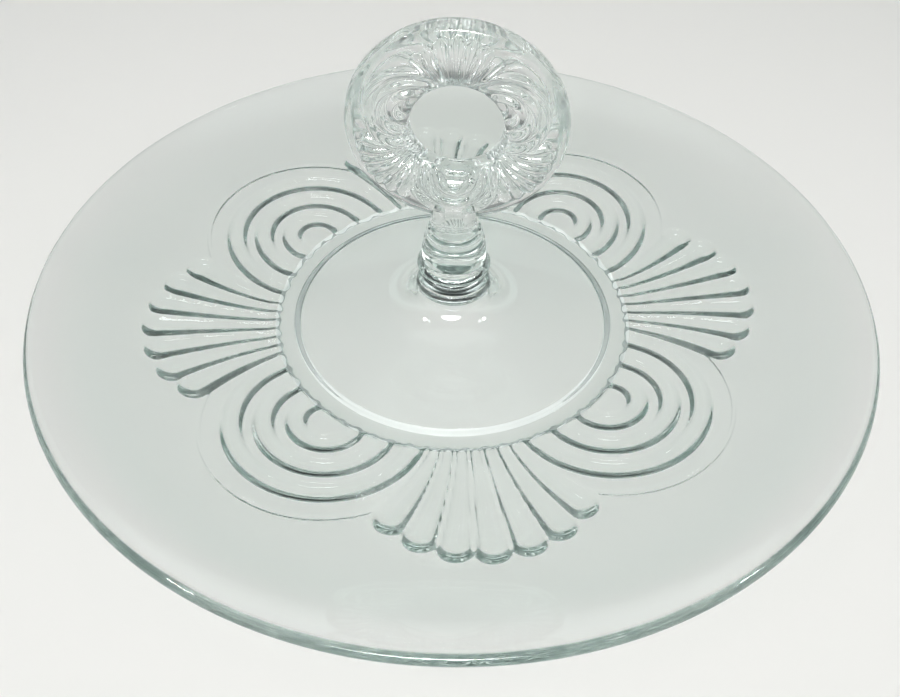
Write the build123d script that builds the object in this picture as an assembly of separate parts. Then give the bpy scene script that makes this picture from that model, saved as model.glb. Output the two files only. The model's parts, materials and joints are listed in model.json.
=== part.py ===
"""Centre-handled serving plate in pressed clear glass.

A round plate on a foot ring rises gently to its middle and flares up there as a hollow boss. A
stem of hot-fused wafers and a knop stands on the boss and carries a ring to lift the plate by.
The underside of the shelf bears a pressed ornament: fans of round flutes that alternate with
ripples of ridges.

Millimetres, +Z up. The origin is on the table at the middle of the foot ring, and the ring
handle stands in the XZ plane, so that its finger hole runs along Y.
"""

import os
from math import acos, asin, cos, degrees, hypot, radians, sin, sqrt, tan

from build123d import *

# Plate
PLATE_RADIUS = 140.0
WALL = 4.4  # thickness of the shelf, and of the rounded lip that ends it
FLOOR_TOP = 7.5
FLOOR_THICKNESS = 5.3
FLOOR_MARGIN = 4.7  # of flat floor outside the foot ring
SHELF_SLOPE = 5.8  # degrees
SHELF_END = 110.0  # radius at which the shelf begins to turn up to the lip
RIM_CURVE = 90.0  # radius of that turn

# Foot ring
FOOT_OUTER_RADIUS = 59.3
FOOT_WIDTH = 5.4
FOOT_DRAFT = 1.6  # how far each wall leans out from the foot's sole
FOOT_EDGE = 0.8

# Raised middle: the floor rises gently inside the foot, then flares up to a small flat boss
FLOOR_RISE = 7.5  # degrees
BOSS_TOP = 23.0
BOSS_LEDGE = 0.8  # of boss outside the stem's lowest wafer
BOSS_THICKNESS = 6.0  # of glass over the hollow
FLARE_CURVE = 17.0
HOLLOW_EDGE = 4.0

# Ornament under the shelf: each motif has its centre on the edge of the well
FAN_COUNT = 4
MOTIF_REACH = 41.5
ORNAMENT_TURN = 11.0  # degrees from the plane of the handle to the first fan
RIPPLE_RIDGES = 3
RIPPLE_PITCH = 9.8
RIPPLE_WIDTH = 7.0
RIPPLE_CROWN = 2.2
RIPPLE_HEIGHT = 1.7
FLUTES_EACH_SIDE = 3  # of the middle flute
FLUTE_SPREAD = 17.0  # degrees between the tips of neighbouring flutes
FLUTE_ROOT_PITCH = 3.9
FLUTE_ROOT_RADIUS = 2.4
FLUTE_ROOT_HEIGHT = 1.5
FLUTE_TIP_RADIUS = 9.0
FLUTE_TIP_HEIGHT = 2.2
FLUTE_TIP_CLOSE = 1.25  # the tip narrows past the point where it meets the shelf

# Stem, from the boss up
COLLAR_RADIUS = 10.9
COLLAR_HEIGHT = 4.0
FLANGE_RADIUS = 12.1
FLANGE_HEIGHT = 3.4
KNOP_RADIUS = 10.7
KNOP_TURN_IN = 0.5  # of the knop's foot, under its fullest line
KNOP_TURN_CURVE = 9.0
KNOP_TOP_RADIUS = 9.8
KNOP_HEIGHT = 9.6
MERESE_RADIUS = 9.4
MERESE_HEIGHT = 3.0
WAFER_EDGE = 0.3  # of a wafer's height
NECK_RADIUS = 7.8
NECK_HEIGHT = 6.0  # up to the lowest line of the ring

# Ring handle
RING_RADIUS = 33.6
FINGER_HOLE_RADIUS = 14.0
RING_DEPTH = 16.4

# Places that follow
SLOPE = radians(SHELF_SLOPE)
RISE = radians(FLOOR_RISE)
WELL_RADIUS = FOOT_OUTER_RADIUS + FLOOR_MARGIN
SHELF_UNDERSIDE = FLOOR_TOP - WALL
FLOOR_UNDERSIDE = FLOOR_TOP - FLOOR_THICKNESS
FOOT_INNER_RADIUS = FOOT_OUTER_RADIUS - FOOT_WIDTH
FOOT_MIDDLE = FOOT_OUTER_RADIUS - FOOT_WIDTH / 2
COLLAR_Z = BOSS_TOP
FLANGE_Z = COLLAR_Z + COLLAR_HEIGHT
KNOP_Z = FLANGE_Z + FLANGE_HEIGHT
MERESE_Z = KNOP_Z + KNOP_HEIGHT
NECK_Z = MERESE_Z + MERESE_HEIGHT
RING_CENTRE_Z = NECK_Z + NECK_HEIGHT + RING_RADIUS
RING_MIDDLE = (RING_RADIUS + FINGER_HOLE_RADIUS) / 2
UPWARD = (Align.CENTER, Align.CENTER, Align.MIN)


def around(axis, radius, angle):
    """The point below a curve's axis, swung outward by an angle."""
    return (axis[0] + radius * sin(angle), axis[1] - radius * cos(angle))


def arc_about(axis, radius, start, end):
    middle = around(axis, radius, (start + end) / 2)
    return ThreePointArc(around(axis, radius, start), middle, around(axis, radius, end))


def spin(outline):
    """The solid that a closed outline of radii and heights sweeps round the Z axis."""
    return revolve(Plane.XZ * make_face(outline), Axis.Z)


# The shelf's two faces turn up to the lip about one axis.
SHELF_RISE = (SHELF_END - WELL_RADIUS) * tan(SLOPE)
RIM_AXIS = (
    SHELF_END - RIM_CURVE * sin(SLOPE),
    FLOOR_TOP + SHELF_RISE + RIM_CURVE * cos(SLOPE),
)
RIM_MIDDLE = RIM_CURVE + WALL / 2
RIM_ANGLE = asin((PLATE_RADIUS - WALL / 2 - RIM_AXIS[0]) / RIM_MIDDLE)


def underside(radius):
    """Height of the plain shelf's underside, from the well to the turn of the rim."""
    return SHELF_UNDERSIDE + max(0.0, radius - WELL_RADIUS) * tan(SLOPE)


def raised(floor_z, radius):
    """Height of a face of the floor where it rises inside the foot."""
    return floor_z + (FOOT_MIDDLE - radius) * tan(RISE)


def plain_plate():
    boss_radius = COLLAR_RADIUS + BOSS_LEDGE
    climb = (BOSS_TOP - raised(FLOOR_TOP, boss_radius)) * cos(RISE)
    boss_angle = RISE + acos(1 - climb / FLARE_CURVE)
    flare_axis = (
        boss_radius + FLARE_CURVE * sin(boss_angle),
        BOSS_TOP + FLARE_CURVE * cos(boss_angle),
    )
    hollow_top = BOSS_TOP - BOSS_THICKNESS
    hollow_curve = FLARE_CURVE + FLOOR_THICKNESS * cos(RISE)
    hollow_angle = acos((flare_axis[1] - hollow_top) / hollow_curve)
    hollow_corner = around(flare_axis, hollow_curve, -hollow_angle)
    foot_wall = FOOT_INNER_RADIUS - FOOT_DRAFT
    lip_centre = around(RIM_AXIS, RIM_MIDDLE, RIM_ANGLE)
    lip_tip = (
        lip_centre[0] + WALL / 2 * cos(RIM_ANGLE),
        lip_centre[1] + WALL / 2 * sin(RIM_ANGLE),
    )
    upper_lip = around(RIM_AXIS, RIM_CURVE, RIM_ANGLE)
    lower_lip = around(RIM_AXIS, RIM_CURVE + WALL, RIM_ANGLE)
    outline = [
        Line((0, BOSS_TOP), (boss_radius, BOSS_TOP)),
        arc_about(flare_axis, FLARE_CURVE, -boss_angle, -RISE),
        Polyline(
            around(flare_axis, FLARE_CURVE, -RISE),
            (FOOT_MIDDLE, FLOOR_TOP),
            (WELL_RADIUS, FLOOR_TOP),
            around(RIM_AXIS, RIM_CURVE, SLOPE),
        ),
        arc_about(RIM_AXIS, RIM_CURVE, SLOPE, RIM_ANGLE),
        ThreePointArc(upper_lip, lip_tip, lower_lip),
        arc_about(RIM_AXIS, RIM_CURVE + WALL, RIM_ANGLE, SLOPE),
        Polyline(
            around(RIM_AXIS, RIM_CURVE + WALL, SLOPE),
            (WELL_RADIUS, SHELF_UNDERSIDE),
            (FOOT_OUTER_RADIUS + FOOT_DRAFT, SHELF_UNDERSIDE),
            (FOOT_OUTER_RADIUS, 0),
            (FOOT_INNER_RADIUS, 0),
            (foot_wall, raised(FLOOR_UNDERSIDE, foot_wall)),
            around(flare_axis, hollow_curve, -RISE),
        ),
        arc_about(flare_axis, hollow_curve, -RISE, -hollow_angle),
        Polyline(hollow_corner, (0, hollow_top), (0, BOSS_TOP)),
    ]
    profile = make_face(outline)
    sole = [(FOOT_OUTER_RADIUS, 0), (FOOT_INNER_RADIUS, 0)]
    sole_corners = [profile.vertices().sort_by_distance(corner)[0] for corner in sole]
    profile = chamfer(sole_corners, FOOT_EDGE)
    profile = fillet(profile.vertices().sort_by_distance(hollow_corner)[0], HOLLOW_EDGE)
    return revolve(Plane.XZ * profile, Axis.Z)


def ridge(ring_radius, half_sweep):
    """A ridge along part of a circle about the motif's centre on +X.

    Its circle leans so that it follows the rising underside, and its root is in the glass.
    """
    apex = underside(WELL_RADIUS + ring_radius)
    side = underside(hypot(WELL_RADIUS, ring_radius))
    lean = degrees(asin((apex - side) / ring_radius))
    root = WALL / 4
    flank = (RIPPLE_WIDTH - RIPPLE_CROWN) / (2 * RIPPLE_HEIGHT)
    root_half_width = RIPPLE_CROWN / 2 + flank * (RIPPLE_HEIGHT + root)
    section = Polyline(
        (ring_radius - RIPPLE_CROWN / 2, -RIPPLE_HEIGHT),
        (ring_radius + RIPPLE_CROWN / 2, -RIPPLE_HEIGHT),
        (ring_radius + root_half_width, root),
        (ring_radius - root_half_width, root),
        close=True,
    )
    bar = revolve(Plane.XZ * make_face(section), Axis.Z, 2 * half_sweep)
    return Pos(WELL_RADIUS, 0, side) * Rot(Y=-lean) * Rot(Z=-half_sweep) * bar


def sweep_into_foot(ring_radius):
    """Degrees from a ridge's apex to where its circle is inside the foot ring."""
    rest = FOOT_MIDDLE**2 - WELL_RADIUS**2 - ring_radius**2
    return degrees(acos(rest / (2 * WELL_RADIUS * ring_radius)))


def ripple():
    radii = [number * RIPPLE_PITCH for number in range(1, RIPPLE_RIDGES + 1)]
    return [ridge(radius, sweep_into_foot(radius)) for radius in radii]


def flute(number):
    """A round flute that widens from the foot ring to a spoon-shaped tip."""
    tip_half_width = sqrt(2 * FLUTE_TIP_RADIUS * FLUTE_TIP_HEIGHT - FLUTE_TIP_HEIGHT**2)
    angle = radians(number * FLUTE_SPREAD)
    reach = MOTIF_REACH - tip_half_width
    tip_x, tip_y = WELL_RADIUS + reach * cos(angle), reach * sin(angle)
    tip_z = underside(hypot(tip_x, tip_y)) + FLUTE_TIP_RADIUS - FLUTE_TIP_HEIGHT
    root_z = SHELF_UNDERSIDE + FLUTE_ROOT_RADIUS - FLUTE_ROOT_HEIGHT
    root = Vector(FOOT_MIDDLE, number * FLUTE_ROOT_PITCH, root_z)
    tip = Vector(tip_x, tip_y, tip_z)
    length = (tip - root).length
    shaft = Cone(FLUTE_ROOT_RADIUS, FLUTE_TIP_RADIUS, length, align=UPWARD)
    end_radius = FLUTE_TIP_RADIUS - FLUTE_TIP_CLOSE * FLUTE_TIP_HEIGHT
    cap = Cone(FLUTE_TIP_RADIUS, end_radius, FLUTE_TIP_CLOSE * tip_half_width, align=UPWARD)
    return Plane(origin=root, z_dir=tip - root) * (shaft + Pos(0, 0, length) * cap)


def ornament_bed():
    """The room that flutes may take: from the middle of the wall to below the shelf."""
    top = FLOOR_TOP - WALL / 2
    depth = WALL / 2 + 2 * FLUTE_TIP_HEIGHT
    run = MOTIF_REACH + WALL
    outer_top = top + run * tan(SLOPE)
    outline = Polyline(
        (FOOT_MIDDLE, top),
        (WELL_RADIUS, top),
        (WELL_RADIUS + run, outer_top),
        (WELL_RADIUS + run, outer_top - depth),
        (WELL_RADIUS, top - depth),
        (FOOT_MIDDLE, top - depth),
        close=True,
    )
    return spin(outline)


def fan():
    bed = ornament_bed()
    numbers = range(-FLUTES_EACH_SIDE, FLUTES_EACH_SIDE + 1)
    return [flute(number) & bed for number in numbers]


def serving_plate():
    """The pressed plate: foot, floor, hollow boss, shelf and the ornament under it."""
    pitch = 360 / FAN_COUNT
    fan_flutes, ripple_ridges = fan(), ripple()
    relief = []
    for number in range(FAN_COUNT):
        turn = ORNAMENT_TURN + number * pitch
        relief += [Rot(Z=turn) * piece for piece in fan_flutes]
        relief += [Rot(Z=turn + pitch / 2) * piece for piece in ripple_ridges]
    return plain_plate() + relief


def wafer(level, radius, height):
    """A disc of glass in the stem, its edge softened by fire."""
    disc = Pos(0, 0, level) * Cylinder(radius, height, align=UPWARD)
    return chamfer(disc.edges(), WAFER_EDGE * height)


def base_collar():
    return wafer(COLLAR_Z, COLLAR_RADIUS, COLLAR_HEIGHT)


def flange_merese():
    return wafer(FLANGE_Z, FLANGE_RADIUS, FLANGE_HEIGHT)


def stem_knop():
    """The swelling of the stem: round under its fullest line, tapering above it."""
    turn = acos(1 - KNOP_TURN_IN / KNOP_TURN_CURVE)
    fullest_z = KNOP_Z + KNOP_TURN_CURVE * sin(turn)
    centre_radius = KNOP_RADIUS - KNOP_TURN_CURVE
    halfway = (
        centre_radius + KNOP_TURN_CURVE * cos(turn / 2),
        fullest_z - KNOP_TURN_CURVE * sin(turn / 2),
    )
    foot = (KNOP_RADIUS - KNOP_TURN_IN, KNOP_Z)
    side = ThreePointArc(foot, halfway, (KNOP_RADIUS, fullest_z))
    rest = Polyline(
        (KNOP_RADIUS, fullest_z), (KNOP_TOP_RADIUS, MERESE_Z), (0, MERESE_Z), (0, KNOP_Z), foot
    )
    return spin([side, rest])


def ring_handle():
    """The ring to lift by, of oval section."""
    section = Pos(RING_MIDDLE, 0) * Ellipse(RING_MIDDLE - FINGER_HOLE_RADIUS, RING_DEPTH / 2)
    return Pos(0, 0, RING_CENTRE_Z) * revolve(section, Axis.Y)


def neck_merese():
    """The top wafer and its neck, which ends in a saddle to the ring."""
    neck_height = RING_CENTRE_Z - RING_MIDDLE - NECK_Z
    neck = Pos(0, 0, NECK_Z) * Cylinder(NECK_RADIUS, neck_height, align=UPWARD)
    return wafer(MERESE_Z, MERESE_RADIUS, MERESE_HEIGHT) + (neck - ring_handle())


PIECES = (
    serving_plate,
    base_collar,
    flange_merese,
    stem_knop,
    neck_merese,
    ring_handle,
)

os.makedirs("parts", exist_ok=True)
for make_piece in PIECES:
    export_step(make_piece(), f"parts/{make_piece.__name__}.step")
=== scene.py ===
"""Looks of the centre-handled serving plate: pressed clear glass on a pale table.

Each piece is a skin of revolution with the pressed ornament as relief. Pieces that are fused in
the real object meet at marked end faces, through which light passes from one to the next.
"""

import json
from math import pi, radians

import bpy
import numpy as np
from mathutils import Matrix, Vector

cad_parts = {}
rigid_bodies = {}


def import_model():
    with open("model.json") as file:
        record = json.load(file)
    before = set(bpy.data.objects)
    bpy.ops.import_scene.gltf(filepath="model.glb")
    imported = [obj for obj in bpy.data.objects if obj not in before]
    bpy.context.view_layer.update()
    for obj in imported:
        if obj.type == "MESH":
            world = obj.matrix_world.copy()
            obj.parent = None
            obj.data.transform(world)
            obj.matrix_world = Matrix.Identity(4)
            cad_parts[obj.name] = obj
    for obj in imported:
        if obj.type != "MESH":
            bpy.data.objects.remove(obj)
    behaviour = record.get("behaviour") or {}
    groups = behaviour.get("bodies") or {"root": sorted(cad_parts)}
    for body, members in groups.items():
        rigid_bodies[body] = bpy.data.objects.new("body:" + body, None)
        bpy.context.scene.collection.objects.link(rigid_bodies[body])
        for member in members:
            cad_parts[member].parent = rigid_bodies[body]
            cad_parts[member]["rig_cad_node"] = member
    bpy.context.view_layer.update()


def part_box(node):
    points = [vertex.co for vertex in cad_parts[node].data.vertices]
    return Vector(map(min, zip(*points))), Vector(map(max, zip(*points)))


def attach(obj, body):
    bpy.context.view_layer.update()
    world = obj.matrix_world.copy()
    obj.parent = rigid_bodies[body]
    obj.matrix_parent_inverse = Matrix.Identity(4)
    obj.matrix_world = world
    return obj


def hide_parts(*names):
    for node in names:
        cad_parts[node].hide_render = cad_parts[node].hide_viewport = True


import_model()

MM = 0.001

# ---- sizes, in millimetres, from the frame where it gives them ----


def node_size(node):
    """(largest radius about Z, lowest z, highest z) of a round CAD node, in millimetres."""
    low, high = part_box(node)
    return (high.x - low.x) / 2 / MM, low.z / MM, high.z / MM


PLATE_RADIUS, _, BOSS_TOP = node_size("serving_plate")
COLLAR_RADIUS, COLLAR_Z, FLANGE_Z = node_size("base_collar")
FLANGE_RADIUS, _, KNOP_Z = node_size("flange_merese")
KNOP_RADIUS, _, MERESE_Z = node_size("stem_knop")
MERESE_RADIUS, _, _ = node_size("neck_merese")
RING_RADIUS, RING_LOW, RING_TOP = node_size("ring_handle")
RING_HALF_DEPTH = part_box("ring_handle")[1].y / MM
RING_CENTRE_Z = (RING_LOW + RING_TOP) / 2

# Plate
WALL = 4.4
FLOOR_TOP = 7.5
FLOOR_UNDERSIDE = 2.2
SHELF_UNDERSIDE = FLOOR_TOP - WALL
WELL_RADIUS = 64.0
WELL_EDGE = 1.5  # of flat floor left before the shelf begins to rise
SHELF_SLOPE = radians(5.8)
SHELF_END = 110.0
RIM_CURVE = 90.0
FOOT_OUTER, FOOT_INNER, FOOT_DRAFT = 59.3, 53.9, 1.6
FOOT_MIDDLE = (FOOT_OUTER + FOOT_INNER) / 2
FLOOR_RISE = radians(7.5)
FLARE_CURVE, BOSS_LEDGE, BOSS_THICKNESS = 17.0, 0.8, 6.0
BOSS_RADIUS = COLLAR_RADIUS + BOSS_LEDGE
FLOOR_BLEND, WELL_BLEND, FOOT_BLEND, CROWN_BLEND = 3.0, 1.4, 1.3, 4.0  # softened corners
FLARE_STEPS, RIM_STEPS, LIP_STEPS = 40, 10, 15
CROWN_START = -8  # the last steps of the hollow, which give way to its crown
WALL_MARGIN = 0.2  # left off each end of the foot's walls, where they curve

# Stem and ring
KNOP_TOP_RADIUS, NECK_RADIUS, MERESE_HEIGHT = 9.8, 7.8, 3.0
NECK_Z = MERESE_Z + MERESE_HEIGHT
STEM_EDGE = 1.2  # radius that softens the edges of the stem
FINGER_HOLE_RADIUS = 14.0
RING_MIDDLE = (RING_RADIUS + FINGER_HOLE_RADIUS) / 2
RING_HALF_WIDTH = (RING_RADIUS - FINGER_HOLE_RADIUS) / 2

# Ornament under the shelf: each motif has its centre on the edge of the well
FAN_COUNT = 4
ORNAMENT_TURN = radians(11.0)
MOTIF_REACH = 41.5
RIPPLE_RIDGES = (9.5, 19.6, 29.5)
RIPPLE_WIDTH, RIPPLE_HEIGHT = 7.6, 1.75
HALO_RADIUS, HALO_WIDTH, HALO_HEIGHT = 39.4, 1.6, 0.5
HALO_SWEEP, HALO_FADE = radians(76), radians(10)  # to each side, and over which it dies out
FLUTE_HEIGHT = 2.6
FOOT_RIBS, RIB_DEPTH = 64, 0.8
RELIEF_STEP, RELIEF_MARGIN = 0.5, 1.5  # between its rows, and from its tips to the first row
RIB_ROWS = (0.8, 0.6, 0.45)  # heights of the ribbed rows, as shares of the wall's

# Ornament of the ring: each motif has its centre near the finger hole
RING_MOTIFS = 3
RING_MOTIF_RADIUS = 15.5
RING_FAN_REACH = 16.6
RING_FLUTE_PITCH = 0.085
RING_RIPPLES = (4.6, 8.8, 13.0)
RING_RIPPLE_WIDTH = 3.2
RING_RELIEF = 1.5
FACE_START, FACE_BLEND = 0.3, 0.4  # of the half depth: where relief begins, and how far it grows

# Flutes of a fan, as shares of its reach
FLUTE_TIP_HALF = 0.142
FLUTE_ROOT = 0.1  # how far the flutes start behind the motif's centre
FLUTE_FILL = 0.52  # half width of a root in pitches
FLUTE_BEND, BEND_LOSS, BEND_SPREAD = 0.3, 0.03, 1.35  # where a flute bends, less per flute out
ROOT_LEVEL, TIP_GAIN = 0.65, 0.45  # height at the root, and what is gained by the tip

AROUND, STEM_AROUND = 640, 192  # divisions of a skin of revolution
RING_AROUND, RING_SECTION = 420, 150
JOINT_MARK, CAST_MARK = "fused_joint", "cast_wall"
JOINT_DIP = 0.03  # how far a fused piece's end reaches into the piece below
AXIS = 0.01  # radius of the small hole that an end face on the axis closes
DOWN = -pi / 2


# ---- skins ----


def mark(mesh, faces, name):
    """Marks faces for the material: a joint lets light pass, a cast wall is dull."""
    values = np.zeros(len(mesh.polygons), np.float32)
    values[faces] = 1
    mesh.attributes.new(name, "FLOAT", "FACE").data.foreach_set("value", values)


def on_foot_wall(place):
    """Whether a place in millimetres is on one of the two walls of the foot ring."""
    between = FOOT_INNER - FOOT_DRAFT < place.xy.length < FOOT_OUTER + FOOT_DRAFT
    return between and WALL_MARGIN < place.z < SHELF_UNDERSIDE - WALL_MARGIN


def closed_mesh(name, grid, closed_rows=False):
    """A closed mesh over a grid of points (row, step round, xyz) in millimetres.

    Each row is a loop. Where the rows don't close on each other, a face closes the first row
    and another the last, and the two come last in the mesh.
    """
    rows, steps = grid.shape[:2]
    index = np.arange(rows * steps).reshape(rows, steps)
    across = np.roll(index, -1, axis=1)
    if closed_rows:
        after, after_across = np.roll(index, -1, axis=0), np.roll(across, -1, axis=0)
        faces = np.stack([index, after, after_across, across], axis=-1).reshape(-1, 4).tolist()
    else:
        quads = np.stack([index[:-1], index[1:], across[1:], across[:-1]], axis=-1)
        faces = quads.reshape(-1, 4).tolist() + [index[0].tolist(), index[-1][::-1].tolist()]
    mesh = bpy.data.meshes.new(name)
    mesh.from_pydata((grid.reshape(-1, 3) * MM).tolist(), [], faces)
    return mesh


def smooth(mesh):
    mesh.polygons.foreach_set("use_smooth", [True] * len(mesh.polygons))


def skin(name, node, grid, closed_rows=False, joints=()):
    """A smooth skin that replaces a node.

    Joints names the ends, "first" or "last", that are fused to a neighbour.
    """
    mesh = closed_mesh(name, grid, closed_rows)
    smooth(mesh)
    ends = {"first": len(mesh.polygons) - 2, "last": len(mesh.polygons) - 1}
    mark(mesh, [ends[end] for end in joints], JOINT_MARK)
    mark(mesh, [f.index for f in mesh.polygons if on_foot_wall(f.center / MM)], CAST_MARK)
    piece = bpy.data.objects.new(name, mesh)
    bpy.context.scene.collection.objects.link(piece)
    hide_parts(node)
    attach(piece, "root")
    return piece


def full_turn(steps):
    return np.linspace(0, 2 * pi, steps, endpoint=False)


def turned(profile, steps=AROUND):
    """The grid of a profile (n, 2) of radii and heights turned about Z, from top to bottom."""
    angle = full_turn(steps)
    radius, height = profile[:, :1], profile[:, 1:]
    return np.stack(
        [radius * np.cos(angle), radius * np.sin(angle), height + 0 * angle], axis=-1
    )


def line(start, end, count=2):
    return np.linspace(start, end, count)


def arc(centre, radius, start, end, count):
    angle = np.linspace(start, end, count)
    return np.stack([centre[0] + radius * np.cos(angle), centre[1] + radius * np.sin(angle)], -1)


def softened(points, radius, count=5):
    """A polyline whose inner corners are rounded off by short curves."""
    points = np.array(points, float)
    out = [points[:1]]
    for before, corner, after in zip(points, points[1:], points[2:]):
        back, ahead = before - corner, after - corner
        reach = min(radius, np.linalg.norm(back) / 2.1, np.linalg.norm(ahead) / 2.1)
        start = corner + back / np.linalg.norm(back) * reach
        end = corner + ahead / np.linalg.norm(ahead) * reach
        t = np.linspace(0, 1, count)[:, None]
        out.append((1 - t) ** 2 * start + 2 * t * (1 - t) * corner + t**2 * end)
    out.append(points[-1:])
    return np.concatenate(out)


# ---- ornament: heights over a flat motif whose centre is at (0, 0), pointing along +x ----


def half_round(distance, half_width):
    return np.clip(1 - (distance / half_width) ** 2, 0, None)


def ripple_height(x, y, radii, width):
    reach = np.hypot(x, y)
    height = np.zeros_like(reach)
    for radius in radii:
        height = np.maximum(height, half_round(reach - radius, width / 2))
    return height


def fan_height(x, y, reach, pitch=0.0975, spread=radians(17.0), each_side=3):
    """Round flutes that leave the foot side by side and flare like a lyre to scalloped tips."""
    height = np.zeros_like(x)
    t = np.linspace(0, 1, 40)
    tip_half = reach * FLUTE_TIP_HALF
    root_half = pitch * FLUTE_FILL
    half = reach * (root_half + (FLUTE_TIP_HALF - root_half) * t**0.9)
    for number in range(-each_side, each_side + 1):
        angle = number * spread
        start = reach * np.array([-FLUTE_ROOT, number * pitch])
        bend_at = FLUTE_BEND - BEND_LOSS * abs(number)
        bend = reach * np.array([bend_at, number * pitch * BEND_SPREAD])
        tip = (reach - tip_half) * np.array([np.cos(angle), np.sin(angle)])
        path_x = (1 - t) ** 2 * start[0] + 2 * t * (1 - t) * bend[0] + t**2 * tip[0]
        path_y = (1 - t) ** 2 * start[1] + 2 * t * (1 - t) * bend[1] + t**2 * tip[1]
        for k in range(len(t) - 1):
            run_x, run_y = path_x[k + 1] - path_x[k], path_y[k + 1] - path_y[k]
            share = ((x - path_x[k]) * run_x + (y - path_y[k]) * run_y) / (run_x**2 + run_y**2)
            share = np.clip(share, 0, 1)
            away = np.hypot(x - path_x[k] - share * run_x, y - path_y[k] - share * run_y)
            width = half[k] + share * (half[k + 1] - half[k])
            level = ROOT_LEVEL + TIP_GAIN * t[k]
            height = np.maximum(height, half_round(away, width) * level)
    return height


def in_motif(angle, first, count):
    """The angle from the middle of the nearest of some motifs that are set evenly round."""
    pitch = 2 * pi / count
    return (angle - first + pitch / 2) % pitch - pitch / 2


def from_centre(radius, angle, motif_radius):
    """A place in a motif's own terms, from its distance and angle about the object's axis."""
    return radius * np.cos(angle) - motif_radius, radius * np.sin(angle)


def plate_relief(radius, angle):
    """Depth of the ornament below the shelf, in millimetres."""
    half_pitch = pi / FAN_COUNT
    around = in_motif(angle, ORNAMENT_TURN, FAN_COUNT)
    flutes = FLUTE_HEIGHT * fan_height(*from_centre(radius, around, WELL_RADIUS), MOTIF_REACH)
    around = in_motif(angle, ORNAMENT_TURN + half_pitch, FAN_COUNT)
    x, y = from_centre(radius, around, WELL_RADIUS)
    ripple = RIPPLE_HEIGHT * ripple_height(x, y, RIPPLE_RIDGES, RIPPLE_WIDTH)
    fade = np.clip((HALO_SWEEP - np.abs(np.arctan2(y, x))) / HALO_FADE, 0, 1)
    halo = HALO_HEIGHT * fade * half_round(np.hypot(x, y) - HALO_RADIUS, HALO_WIDTH / 2)
    return np.maximum(np.maximum(flutes, ripple), halo)


# ---- plate ----


def raised(floor_z, radius):
    """Height of a face of the floor where it rises inside the foot."""
    return floor_z + (FOOT_MIDDLE - radius) * np.tan(FLOOR_RISE)


def on_shelf(radius):
    """The place on top of the shelf at a radius."""
    return radius, FLOOR_TOP + (radius - WELL_RADIUS) * np.tan(SHELF_SLOPE)


def flare():
    """The axis of the flare under the boss, and the angle at which it meets the boss."""
    climb = (BOSS_TOP - raised(FLOOR_TOP, BOSS_RADIUS)) * np.cos(FLOOR_RISE)
    end = FLOOR_RISE + np.arccos(1 - climb / FLARE_CURVE)
    axis = np.array([BOSS_RADIUS, BOSS_TOP]) + FLARE_CURVE * np.array([np.sin(end), np.cos(end)])
    return axis, end


def upper_outline():
    """From the stem out over the floor and shelf, round the lip and back to the ornament."""
    axis, flare_end = flare()
    curve = arc(axis, FLARE_CURVE, DOWN - flare_end, DOWN - FLOOR_RISE, FLARE_STEPS)
    floor_end = (WELL_RADIUS - WELL_EDGE, FLOOR_TOP)
    well = [floor_end, (WELL_RADIUS, FLOOR_TOP), on_shelf(WELL_RADIUS + 2)]
    rim_axis = np.array(on_shelf(SHELF_END))
    rim_axis += RIM_CURVE * np.array([-np.sin(SHELF_SLOPE), np.cos(SHELF_SLOPE)])
    middle = RIM_CURVE + WALL / 2
    rim_angle = np.arcsin((PLATE_RADIUS - WALL / 2 - rim_axis[0]) / middle)
    lip = rim_axis + middle * np.array([np.sin(rim_angle), -np.cos(rim_angle)])
    slope, turned_up = DOWN + SHELF_SLOPE, DOWN + rim_angle
    parts = [
        line((COLLAR_RADIUS, BOSS_TOP), (BOSS_RADIUS, BOSS_TOP), 3)[:-1],
        curve,
        softened([curve[-1], (FOOT_MIDDLE, FLOOR_TOP), floor_end], FLOOR_BLEND, 9)[1:],
        softened(well, WELL_BLEND)[1:],
        line(on_shelf(WELL_RADIUS + 8), on_shelf(SHELF_END - 4), 5),
        arc(rim_axis, RIM_CURVE, slope, turned_up, RIM_STEPS),
        arc(lip, WALL / 2, turned_up + pi, turned_up, LIP_STEPS)[1:-1],
        arc(rim_axis, RIM_CURVE + WALL, turned_up, slope, RIM_STEPS),
    ]
    return np.concatenate(parts)


def ornate_rows():
    """The underside of the shelf with its ornament, and the upper part of the foot's wall."""
    wall_top = FOOT_OUTER + FOOT_DRAFT
    radii = np.arange(WELL_RADIUS + MOTIF_REACH + RELIEF_MARGIN, wall_top, -RELIEF_STEP)
    radii[-1] = wall_top
    shelf = SHELF_UNDERSIDE + np.clip(radii - WELL_RADIUS, 0, None) * np.tan(SHELF_SLOPE)
    angle = full_turn(AROUND)
    rows = turned(np.stack([radii, shelf], -1))
    rows[..., 2] -= plate_relief(radii[:, None] + 0 * angle, angle + 0 * radii[:, None])
    wall = []
    for share in RIB_ROWS:
        z = rows[-1, :, 2] * share
        rib = RIB_DEPTH * (0.5 - 0.5 * np.cos(FOOT_RIBS * angle)) * min(1, 4 * (1 - share))
        radius = FOOT_OUTER + FOOT_DRAFT * z / SHELF_UNDERSIDE - rib
        wall.append(np.stack([radius * np.cos(angle), radius * np.sin(angle), z], -1))
    return np.concatenate([rows, np.array(wall)])


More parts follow.
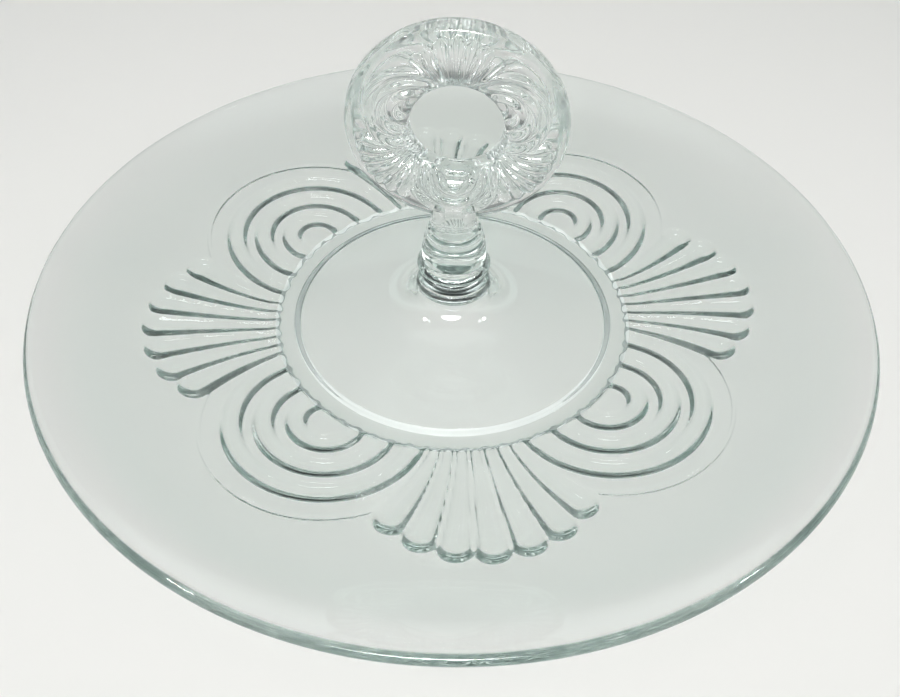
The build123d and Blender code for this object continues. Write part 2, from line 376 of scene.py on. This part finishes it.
def lower_outline():
    """From the foot's sole in under the floor to the top of the hollow."""
    axis, _ = flare()
    curve = FLARE_CURVE + (FLOOR_TOP - FLOOR_UNDERSIDE) * np.cos(FLOOR_RISE)
    top = BOSS_TOP - BOSS_THICKNESS
    end = np.arccos((axis[1] - top) / curve)
    hollow = arc(axis, curve, DOWN - FLOOR_RISE, DOWN - end, FLARE_STEPS)
    wall_top = FOOT_INNER - FOOT_DRAFT
    foot = [
        (FOOT_OUTER + FOOT_DRAFT, 1.0),
        (FOOT_OUTER, 0),
        (FOOT_INNER, 0),
        (wall_top, raised(FLOOR_UNDERSIDE, wall_top)),
        hollow[0],
    ]
    crown = softened([hollow[CROWN_START], hollow[-1], (AXIS, top)], CROWN_BLEND, 12)
    return np.concatenate([softened(foot, FOOT_BLEND)[1:-1], hollow[:CROWN_START], crown])


def serving_plate():
    rows = [turned(upper_outline()), ornate_rows(), turned(lower_outline())]
    return skin("plate_glass", "serving_plate", np.concatenate(rows), joints=("first",))


# ---- stem ----


def stem():
    """The stem's skins, each from its top edge down to where it meets the piece below."""
    foot = KNOP_RADIUS - 0.5
    merese_foot = MERESE_RADIUS - 0.3
    flange_middle = (KNOP_Z + FLANGE_Z) / 2
    flange_edge, collar_edge = FLANGE_RADIUS - 0.9, COLLAR_RADIUS - 1.2
    skins = {
        "neck_merese": [
            (NECK_RADIUS, NECK_Z),
            (MERESE_RADIUS - 0.6, NECK_Z),
            (MERESE_RADIUS, NECK_Z - 0.9),
            (MERESE_RADIUS, MERESE_Z + 0.6),
            (merese_foot, MERESE_Z),
        ],
        "stem_knop": [
            (merese_foot, MERESE_Z),
            (KNOP_TOP_RADIUS, MERESE_Z - 0.6),
            (KNOP_RADIUS - 0.2, KNOP_Z + 5.5),
            (KNOP_RADIUS, KNOP_Z + 3.0),
            (foot, KNOP_Z),
        ],
        "flange_merese": [
            (foot, KNOP_Z),
            (flange_edge, KNOP_Z),
            (FLANGE_RADIUS, flange_middle + 0.5),
            (FLANGE_RADIUS, flange_middle - 0.5),
            (flange_edge, FLANGE_Z),
            (collar_edge, FLANGE_Z),
        ],
        "base_collar": [
            (collar_edge, FLANGE_Z),
            (COLLAR_RADIUS, FLANGE_Z - 1.4),
            (COLLAR_RADIUS, COLLAR_Z + 0.8),
            (COLLAR_RADIUS, COLLAR_Z),
        ],
    }
    for node, outline in skins.items():
        profile = softened(outline, STEM_EDGE)
        dipped = profile[-1] - (0, JOINT_DIP)
        grid = turned(np.concatenate([profile, [dipped]]), STEM_AROUND)
        skin(f"{node}_glass", node, grid, joints=("first", "last"))


# ---- ring ----


def ring_relief(x, z):
    """How proud of the ring's ground the ornament stands at a place on a face, from 0 to 1."""
    radius, angle = np.hypot(x, z), np.arctan2(z, x)
    place = from_centre(radius, in_motif(angle, radians(90), RING_MOTIFS), RING_MOTIF_RADIUS)
    fans = fan_height(*place, RING_FAN_REACH, RING_FLUTE_PITCH)
    place = from_centre(radius, in_motif(angle, radians(30), RING_MOTIFS), RING_MOTIF_RADIUS)
    return np.maximum(fans, ripple_height(*place, RING_RIPPLES, RING_RIPPLE_WIDTH))


def ring_handle():
    """An ellipse turned about the finger hole's axis, sunk in between the ornament."""
    around = full_turn(RING_AROUND)[None, :]
    section = full_turn(RING_SECTION)[:, None]
    out, side = np.cos(section) + 0 * around, np.sin(section) + 0 * around
    radius = RING_MIDDLE + RING_HALF_WIDTH * out
    face = np.clip((np.abs(side) - FACE_START) / FACE_BLEND, 0, 1)
    face = face**2 * (3 - 2 * face)
    relief = face * ring_relief(radius * np.cos(around), radius * np.sin(around))
    ground = RING_RELIEF * face * (1 - relief)
    normal_out, normal_side = out / RING_HALF_WIDTH, side / RING_HALF_DEPTH
    length = np.hypot(normal_out, normal_side)
    radius = radius - ground * normal_out / length
    y = RING_HALF_DEPTH * side - ground * normal_side / length
    grid = np.stack([radius * np.cos(around), y, RING_CENTRE_Z + radius * np.sin(around)], -1)
    return skin("ring_glass", "ring_handle", grid, closed_rows=True)


def join_neck(ring):
    """Makes the ring and its neck one body, so that no skin is left inside the glass."""
    top, base = RING_CENTRE_Z - RING_MIDDLE, NECK_Z - JOINT_DIP
    side = [(NECK_RADIUS, top), (NECK_RADIUS, NECK_Z + 1.5), (NECK_RADIUS, base)]
    profile = np.array([(AXIS, top), *side, (AXIS, base)])
    mesh = closed_mesh("neck_tool", turned(profile, STEM_AROUND))
    tool = bpy.data.objects.new("neck_tool", mesh)
    bpy.context.scene.collection.objects.link(tool)
    union = ring.modifiers.new("neck", "BOOLEAN")
    union.operation, union.solver, union.object = "UNION", "EXACT", tool
    bpy.context.view_layer.update()
    joined_ring = ring.evaluated_get(bpy.context.evaluated_depsgraph_get())
    joined = bpy.data.meshes.new_from_object(joined_ring)
    ring.modifiers.clear()
    bpy.data.objects.remove(tool)
    for attribute in [a for a in joined.attributes if a.name == JOINT_MARK]:
        joined.attributes.remove(attribute)
    ends = [f.index for f in joined.polygons if abs(f.center.z - base * MM) < 1e-6]
    mark(joined, ends, JOINT_MARK)
    smooth(joined)
    ring.data = joined


plate = serving_plate()
stem()
join_neck(ring_handle())


# ---- materials ----

TINT = (0.99, 0.995, 0.993, 1)
ABSORBED = (0.42, 0.62, 0.56, 1)
IOR = 1.5
WAVE_SCALE, WAVE_DEPTH, WAVINESS = 70.0, 0.0004, 0.12
SCUFF_SCALE, SCUFFS = 900.0, 0.06
CAST_ROUGHNESS, CAST_CLARITY = 0.3, 0.75
SHADE_FACING, SHADE_EDGE = (0.995, 0.999, 0.997, 1), (0.74, 0.79, 0.77, 1)
SHADE_BLEND = 0.35
PLATE_ABSORPTION, STEM_ABSORPTION = 7.0, 5.0
NO_SHADE = (1, 1, 1, 1)
TABLE_COLOUR, TABLE_ROUGHNESS = (0.79, 0.77, 0.75, 1), 0.6


def new_material(name):
    material = bpy.data.materials.new(name)
    material.use_nodes = True
    return material, material.node_tree.nodes, material.node_tree.links


def add(nodes, kind, **values):
    """A shader node, with its inputs and its settings given by name."""
    node = nodes.new(kind)
    for key, value in values.items():
        if key in node.inputs:
            node.inputs[key].default_value = value
        else:
            setattr(node, key, value)
    return node


def glass_body(nodes, links):
    """Refracting glass with soft mould waves and fine scuffs, dull on the cast walls."""
    place = add(nodes, "ShaderNodeTexCoord")
    waves = add(nodes, "ShaderNodeTexNoise", Scale=WAVE_SCALE, Detail=2.0)
    links.new(place.outputs["Object"], waves.inputs["Vector"])
    bump = add(nodes, "ShaderNodeBump", Strength=WAVINESS, Distance=WAVE_DEPTH)
    links.new(waves.outputs["Fac"], bump.inputs["Height"])
    scratches = add(nodes, "ShaderNodeTexNoise", Scale=SCUFF_SCALE, Detail=4.0)
    links.new(place.outputs["Object"], scratches.inputs["Vector"])
    haze_range = {"From Min": 0.55, "From Max": 0.8, "To Min": 0.0, "To Max": SCUFFS}
    haze = add(nodes, "ShaderNodeMapRange", **haze_range)
    links.new(scratches.outputs["Fac"], haze.inputs["Value"])
    cast = add(nodes, "ShaderNodeAttribute", attribute_name=CAST_MARK)
    dull = add(nodes, "ShaderNodeMath", operation="MULTIPLY_ADD")
    dull.inputs[1].default_value = CAST_ROUGHNESS
    links.new(cast.outputs["Fac"], dull.inputs[0])
    links.new(haze.outputs["Result"], dull.inputs[2])
    clarity = add(nodes, "ShaderNodeMapRange", **{"To Min": 1.0, "To Max": CAST_CLARITY})
    links.new(cast.outputs["Fac"], clarity.inputs["Value"])
    body = add(nodes, "ShaderNodeBsdfPrincipled", **{"IOR": IOR, "Base Color": TINT})
    links.new(dull.outputs[0], body.inputs["Roughness"])
    links.new(clarity.outputs["Result"], body.inputs["Transmission Weight"])
    links.new(bump.outputs["Normal"], body.inputs["Normal"])
    return body


def light_through(nodes, links, joint):
    """What shadow and diffuse rays meet: clear at a joint, and darker where glass is steep."""
    facing = add(nodes, "ShaderNodeLayerWeight", Blend=SHADE_BLEND)
    shade = add(nodes, "ShaderNodeMix", data_type="RGBA")
    shade.inputs[6].default_value = SHADE_FACING
    shade.inputs[7].default_value = SHADE_EDGE
    links.new(facing.outputs["Facing"], shade.inputs[0])
    tone = add(nodes, "ShaderNodeMix", data_type="RGBA")
    tone.inputs[7].default_value = NO_SHADE
    links.new(joint.outputs["Fac"], tone.inputs[0])
    links.new(shade.outputs[2], tone.inputs[6])
    through = add(nodes, "ShaderNodeBsdfTransparent")
    links.new(tone.outputs[2], through.inputs["Color"])
    return through


def where_clear(nodes, links, joint):
    """1 for shadow and diffuse rays, and for every ray at a fused joint."""
    rays = add(nodes, "ShaderNodeLightPath")
    lighting = add(nodes, "ShaderNodeMath", operation="MAXIMUM")
    links.new(rays.outputs["Is Shadow Ray"], lighting.inputs[0])
    links.new(rays.outputs["Is Diffuse Ray"], lighting.inputs[1])
    clear = add(nodes, "ShaderNodeMath", operation="MAXIMUM")
    links.new(lighting.outputs[0], clear.inputs[0])
    links.new(joint.outputs["Fac"], clear.inputs[1])
    return clear


def glass(name, absorption):
    """Clear pressed glass with a faint green in its depth."""
    material, nodes, links = new_material(name)
    nodes.clear()
    joint = add(nodes, "ShaderNodeAttribute", attribute_name=JOINT_MARK)
    choose = add(nodes, "ShaderNodeMixShader")
    links.new(where_clear(nodes, links, joint).outputs[0], choose.inputs[0])
    links.new(glass_body(nodes, links).outputs[0], choose.inputs[1])
    links.new(light_through(nodes, links, joint).outputs[0], choose.inputs[2])
    depth = add(nodes, "ShaderNodeVolumeAbsorption", Color=ABSORBED, Density=absorption)
    out = add(nodes, "ShaderNodeOutputMaterial")
    links.new(choose.outputs[0], out.inputs["Surface"])
    links.new(depth.outputs[0], out.inputs["Volume"])
    return material


plate_look = glass("plate_glass", PLATE_ABSORPTION)
stem_look = glass("stem_glass", STEM_ABSORPTION)
for piece in [o for o in bpy.data.objects if o.type == "MESH" and not o.get("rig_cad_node")]:
    piece.data.materials.clear()
    piece.data.materials.append(plate_look if piece is plate else stem_look)


# ---- floor, light and camera, in metres ----

TABLE_REACH = 4.0
TABLE_DROP = 0.0002  # keeps the table's face clear of the plate's sole
FADE_START, FADE_END = 0.7, 2.2  # distances over which the table fades out


def table():
    """A pale table top that fades out far from the plate, so that no horizon line is seen."""
    mesh = bpy.data.meshes.new("table_top")
    corners = [(x * TABLE_REACH, y * TABLE_REACH, 0) for x, y in ((-1, -1), (1, -1), (1, 1), (-1, 1))]
    mesh.from_pydata(corners, [], [(0, 1, 2, 3)])
    floor = bpy.data.objects.new("table_top", mesh)
    floor.location.z = -TABLE_DROP
    bpy.context.scene.collection.objects.link(floor)
    material, nodes, links = new_material("pale_table")
    body = nodes["Principled BSDF"]
    body.inputs["Base Color"].default_value = TABLE_COLOUR
    body.inputs["Roughness"].default_value = TABLE_ROUGHNESS
    place = add(nodes, "ShaderNodeTexCoord")
    distance = add(nodes, "ShaderNodeVectorMath", operation="LENGTH")
    links.new(place.outputs["Object"], distance.inputs[0])
    fade_range = {"From Min": FADE_START, "From Max": FADE_END, "To Min": 1.0, "To Max": 0.0}
    fade = add(nodes, "ShaderNodeMapRange", interpolation_type="SMOOTHSTEP", **fade_range)
    links.new(distance.outputs["Value"], fade.inputs["Value"])
    links.new(fade.outputs["Result"], body.inputs["Alpha"])
    mesh.materials.append(material)


def lamp(name, place, aim, size, power, spread):
    """An elliptical lamp: its size is (width, height) and its spread is in degrees."""
    light = bpy.data.lights.new(name, "AREA")
    light.shape, light.energy, light.spread = "ELLIPSE", power, radians(spread)
    light.size, light.size_y = size
    holder = bpy.data.objects.new(name, light)
    bpy.context.scene.collection.objects.link(holder)
    holder.location = place
    holder.rotation_euler = (Vector(aim) - Vector(place)).to_track_quat("-Z", "Y").to_euler()


def studio():
    """Three lamps, and a surround with bright bands that the glass reflects."""
    world = bpy.data.worlds.new("studio")
    bpy.context.scene.world = world
    world.use_nodes = True
    nodes, links = world.node_tree.nodes, world.node_tree.links
    background = nodes["Background"]
    place = add(nodes, "ShaderNodeTexCoord")
    split = add(nodes, "ShaderNodeSeparateXYZ")
    ramp = add(nodes, "ShaderNodeValToRGB")
    links.new(place.outputs["Generated"], split.inputs[0])
    links.new(split.outputs["Z"], ramp.inputs["Fac"])
    stops = ramp.color_ramp.elements
    stops[0].position, stops[0].color = 0.0, (0.42, 0.43, 0.42, 1)
    stops[1].position, stops[1].color = 0.18, (0.16, 0.17, 0.17, 1)
    for position, level in ((0.24, 1.0), (0.42, 1.0), (0.46, 0.05), (0.84, 0.05), (0.90, 0.8)):
        stops.new(position).color = (level * 0.9, level * 1.03, level, 1)
    links.new(ramp.outputs["Color"], background.inputs["Color"])
    background.inputs["Strength"].default_value = 0.65
    lamp("key", (0, -1.5, 1.25), (0, 0.05, 0.03), (1.4, 0.35), 3.4, 42)
    lamp("left", (-1.0, -0.5, 1.1), (0, 0, 0.05), (0.15, 0.15), 3.6, 180)
    lamp("right", (1.1, -0.2, 1.0), (0, 0, 0.05), (0.15, 0.15), 3, 180)


def camera():
    """The camera of the photo, found from the rim's ellipse and the ring's circle."""
    data = bpy.data.cameras.new("camera")
    data.sensor_width, data.lens = 36.0, 44.0
    data.clip_start, data.clip_end = 0.01, 20.0
    data.shift_x = -0.002
    eye = bpy.data.objects.new("camera", data)
    bpy.context.scene.collection.objects.link(eye)
    azimuth = Matrix.Rotation(radians(3.55), 4, "Z")
    tilt = Matrix.Rotation(radians(90 - 45.7655), 4, "X")
    roll = Matrix.Rotation(0.0229, 4, "Z")
    eye.matrix_world = azimuth @ Matrix.Translation((0, -0.2748, 0.26946)) @ tilt @ roll
    bpy.context.scene.camera = eye


table()
studio()
camera()
bpy.context.scene.view_settings.view_transform = "Standard"
light_paths = bpy.context.scene.cycles
light_paths.max_bounces = light_paths.glossy_bounces = light_paths.transmission_bounces = 24
light_paths.transparent_max_bounces = 32
